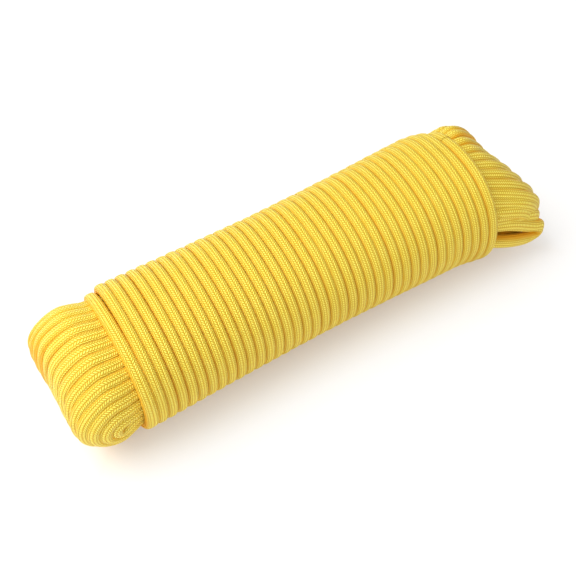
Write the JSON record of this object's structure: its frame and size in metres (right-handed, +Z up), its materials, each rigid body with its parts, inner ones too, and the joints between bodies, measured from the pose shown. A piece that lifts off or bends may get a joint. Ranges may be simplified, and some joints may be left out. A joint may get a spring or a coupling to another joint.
{
  "type": "hank of cord",
  "caption": "Hank of braided kernmantle utility cord, laid up in long loops and bound round the middle with a close spiral of its own turns.",
  "frame": {"origin": "middle of the hank on the surface it lies on", "axes": "+X along the hank to the end with the open loop, +Y across it, +Z up; the binding is wound from +X to -X"},
  "size_m": [0.2076, 0.0603, 0.0537],
  "materials": {
    "sheath": "braided synthetic filament, slight sheen",
    "core_yarn": "twisted filament yarn",
    "melted_end": "melted and rounded"
  },
  "bodies": {
    "root": {"binding_end_turn": "sheath", "binding_start_turn": "sheath", "binding_turn_01": "sheath", "binding_turn_02": "sheath", "binding_turn_03": "sheath", "binding_turn_04": "sheath", "binding_turn_05": "sheath", "binding_turn_06": "sheath", "binding_turn_07": "sheath", "binding_turn_08": "sheath", "binding_turn_09": "sheath", "binding_turn_10": "sheath", "binding_turn_11": "sheath", "binding_turn_12": "sheath", "binding_turn_13": "sheath", "binding_turn_14": "sheath", "binding_turn_15": "sheath", "binding_turn_16": "sheath", "binding_turn_17": "sheath", "binding_turn_18": "sheath", "binding_turn_19": "sheath", "binding_turn_20": "sheath", "binding_turn_21": "sheath", "binding_turn_22": "sheath", "binding_turn_23": "sheath", "binding_turn_24": "sheath", "binding_turn_25": "sheath", "binding_turn_26": "sheath", "binding_turn_27": "sheath", "binding_turn_28": "sheath", "binding_turn_29": "sheath", "binding_turn_30": "sheath", "binding_turn_31": "sheath", "binding_turn_32": "sheath", "binding_turn_33": "sheath", "binding_turn_34": "sheath", "binding_turn_35": "sheath", "binding_turn_36": "sheath", "binding_turn_37": "sheath", "inner_end_core_strands": "core_yarn", "inner_end_sheath": "sheath", "inner_end_tip": "melted_end", "lead_to_binding": "sheath", "loop_layer_1": "sheath", "loop_layer_2": "sheath", "loop_layer_3": "sheath", "loop_layer_4": "sheath", "loop_layer_5": "sheath", "outer_end_core_strands": "core_yarn", "outer_end_sheath": "sheath", "outer_end_tip": "melted_end", "tucked_end": "sheath"}
  },
  "joints": []
}
